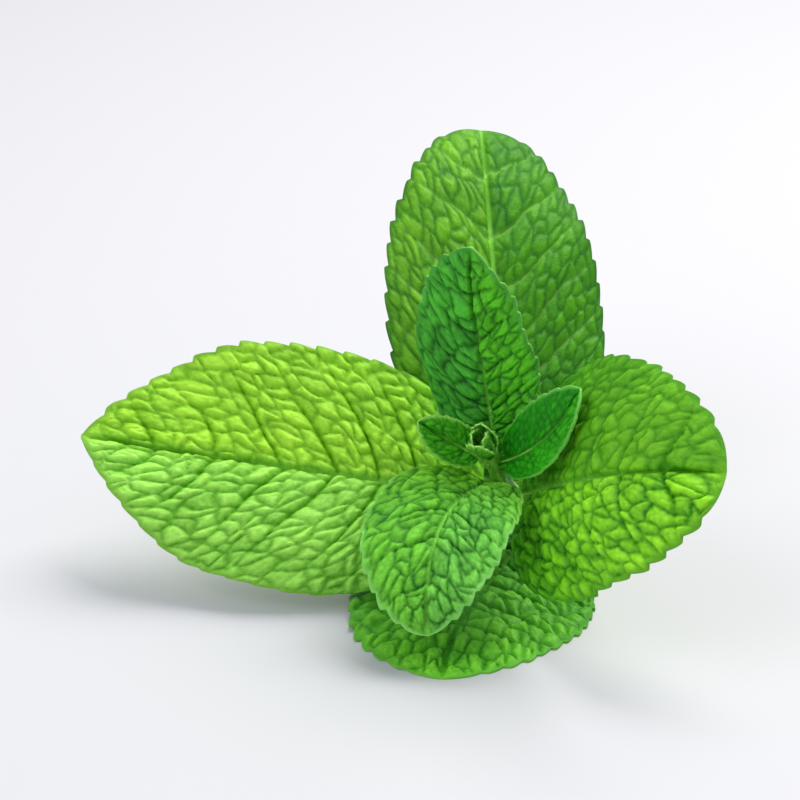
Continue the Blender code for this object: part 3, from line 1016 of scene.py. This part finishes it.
def stem_finish():
    """Light green with paler corners, and moist pale pith at the cut."""
    finish = Finish("stem_green")
    patches = finish.noise(220.0)
    grain = finish.noise(1800.0)
    green = finish.mix(patches, screen(96, 176, 36), screen(134, 206, 62))
    green = finish.mix(0.5 * finish.mark("corner"), green, screen(164, 222, 96))
    green = finish.mix(0.35 * grain, green, screen(84, 154, 34))
    colour = finish.mix(finish.mark("pith"), green, screen(206, 218, 160))
    skin = finish.bump(finish.noise(3000.0, 3.0), 0.06 * MM)
    finish.set(Base_Color=colour, Roughness=0.42 + 0.2 * (grain - 0.5), Normal=skin)
    finish.set(Subsurface_Weight=0.2, Subsurface_Scale=0.5 * MM, Subsurface_Radius=(0.7, 1.0, 0.3))
    finish.set(Specular_IOR_Level=0.3)
    return finish.material


make_stem(stem_finish())

# %% [markdown]
# ## Fine hairs
# Young mint is downy: the stem, the margins of the young leaves and the bud carry short pale hairs.
# Each hair is a three-sided cone, because a shape that is repeated hundreds of times has to be
# simple. Those of the stem point outwards and a little back, those of a margin stand off its edge.

# %% Fine hairs
HAIR_SIDES = 3
HAIR_THICKNESS = 0.06 * MM
HAIR_ROOT = 0.03 * MM
HAIR_SHORTEST = 0.5
HAIR_BACK = 0.5
HAIR_SPREAD = 0.5
HAIR_CLEARANCE = 1 * MM
HAIR_SEED = 40
STEM_HAIRS = 420
STEM_HAIR = 0.7 * MM
MARGIN_HAIRS = 45
YOUNG_HAIR = 0.5 * MM
BUD_HAIR = 0.45 * MM


def make_hairs(name, spots, length, finish, node, draw):
    """One mesh of hairs. Each spot is a place and a direction."""
    coat = bmesh.new()
    for place, direction in spots:
        scatter = Vector(draw.uniform(-HAIR_SPREAD, HAIR_SPREAD, 3))
        away = (Vector(direction).normalized() + scatter).normalized()
        long = length * draw.uniform(HAIR_SHORTEST, 1)
        turn = Vector((0, 0, 1)).rotation_difference(away).to_matrix().to_4x4()
        middle = Vector(place) + away * (long / 2 - HAIR_ROOT)
        bmesh.ops.create_cone(
            coat, cap_ends=True, segments=HAIR_SIDES, radius1=HAIR_THICKNESS / 2, radius2=0,
            depth=long, matrix=Matrix.Translation(middle) @ turn,
        )
    mesh = bpy.data.meshes.new(name)
    coat.to_mesh(mesh)
    coat.free()
    print(name, len(spots), "hairs")
    add_piece(name, mesh, finish, node)


def hair_finish():
    """Pale and nearly clear."""
    finish = Finish("hair_pale")
    shade = finish.mix(finish.noise(900.0), screen(134, 206, 80), screen(186, 234, 140))
    finish.set(Base_Color=shade, Roughness=0.4, Specular_IOR_Level=0.4)
    return finish.material


def stem_spots(draw):
    """Places all over the stem past its cut end, above the surface that it lies on."""
    spots = []
    while len(spots) < STEM_HAIRS:
        along = draw.uniform(CUT_REACH, STEM_LENGTH)
        turn = draw.uniform(-pi, pi)
        centre, ahead, upper = stem_frame(along)
        away = upper * cos(turn) + STEM_LEFT * sin(turn)
        place = centre + away * (section_radius(turn) * stem_half(along))
        if place.z > HAIR_CLEARANCE:
            spots.append((place, away - ahead * HAIR_BACK))
    return spots


def margin_spots(face, draw):
    """Places along both margins of a leaf, pointing off its edge."""
    spots = []
    for _ in range(MARGIN_HAIRS):
        row = draw.integers(STALK_ROWS, len(face))
        edge, inner = (-1, -4) if draw.random() < 0.5 else (0, 3)
        spots.append((face[row, edge], face[row, edge] - face[row, inner]))
    return spots


hairs = hair_finish()
draw = np.random.default_rng(HAIR_SEED)
make_hairs("stem_hairs", stem_spots(draw), STEM_HAIR, hairs, "stem", draw)
for name in ("leaf_young_left", "leaf_young_right"):
    spots = margin_spots(upper_faces[name], draw)
    make_hairs(name + "_hairs", spots, YOUNG_HAIR, hairs, name, draw)
spots = [spot for leaf in BUD_LEAVES for spot in margin_spots(upper_faces[leaf.name], draw)]
make_hairs("bud_hairs", spots, BUD_HAIR, hairs, "bud", draw)

# %% [markdown]
# ## Floor, light and camera
# The sprig lies on a plain pale floor. A large soft light hangs above it, behind and to the right,
# and a weaker one fills the front from the left, so that the cushions of the leaves have a light
# and a dark side. The camera looks along +Y and 25 degrees down, as the photograph does.

# %% Floor
FLOOR_HALF = 1.5


def make_floor():
    """A pale plane that the sprig lies on."""
    plane = bmesh.new()
    bmesh.ops.create_grid(plane, x_segments=1, y_segments=1, size=FLOOR_HALF)
    mesh = bpy.data.meshes.new("floor")
    plane.to_mesh(mesh)
    plane.free()
    floor = bpy.data.objects.new("floor", mesh)
    finish = Finish("floor_white")
    finish.set(Base_Color=screen(206, 205, 210), Roughness=0.6, Specular_IOR_Level=0.3)
    mesh.materials.append(finish.material)
    bpy.context.scene.collection.objects.link(floor)


make_floor()

# %% Light
SUBJECT = Vector((0.0, 0.0, 0.02))


def add_light(name, place, size, watts, colour):
    """A square soft light that faces the sprig."""
    data = bpy.data.lights.new(name, "AREA")
    data.size = size
    data.energy = watts
    data.color = colour
    light = bpy.data.objects.new(name, data)
    light.location = place
    light.rotation_euler = (SUBJECT - Vector(place)).to_track_quat("-Z", "Y").to_euler()
    bpy.context.scene.collection.objects.link(light)
    print(name, "light of", watts, "W at", place)


add_light("window", (0.2, 0.2, 0.54), size=0.5, watts=4.5, colour=(1.0, 0.98, 0.93))
add_light("fill", (-0.4, -0.4, 0.45), size=0.5, watts=1.7, colour=(0.96, 0.98, 1.0))
world = bpy.data.worlds.new("studio")
world.use_nodes = True
sky = world.node_tree.nodes["Background"].inputs
sky["Color"].default_value = (0.88, 0.94, 1.0, 1.0)
sky["Strength"].default_value = 0.5
bpy.context.scene.world = world

# %% Camera
VIEW_DOWN = radians(25)
VIEW_FROM = 0.45
AIM = Vector((0.0006, 0.001, 0.0236))
LENS = 150.0

camera_data = bpy.data.cameras.new("camera")
camera_data.lens = LENS
camera = bpy.data.objects.new("camera", camera_data)
back = Vector((0, -cos(VIEW_DOWN), sin(VIEW_DOWN)))
camera.location = stem_frame(SIDE_PAIR)[0] + back * VIEW_FROM
camera.rotation_euler = (AIM - camera.location).to_track_quat("-Z", "Y").to_euler()
bpy.context.scene.collection.objects.link(camera)
bpy.context.scene.camera = camera
bpy.context.scene.view_settings.view_transform = "Standard"
print("camera", round(VIEW_FROM / MM), "mm away, with a lens of", LENS, "mm")

# %% [markdown]
# ## Bringing the scene up to date
# The pieces made here must have the size of the solids. At the end the view layer is brought up to
# date.

# %% Bringing the scene up to date
bpy.context.view_layer.update()
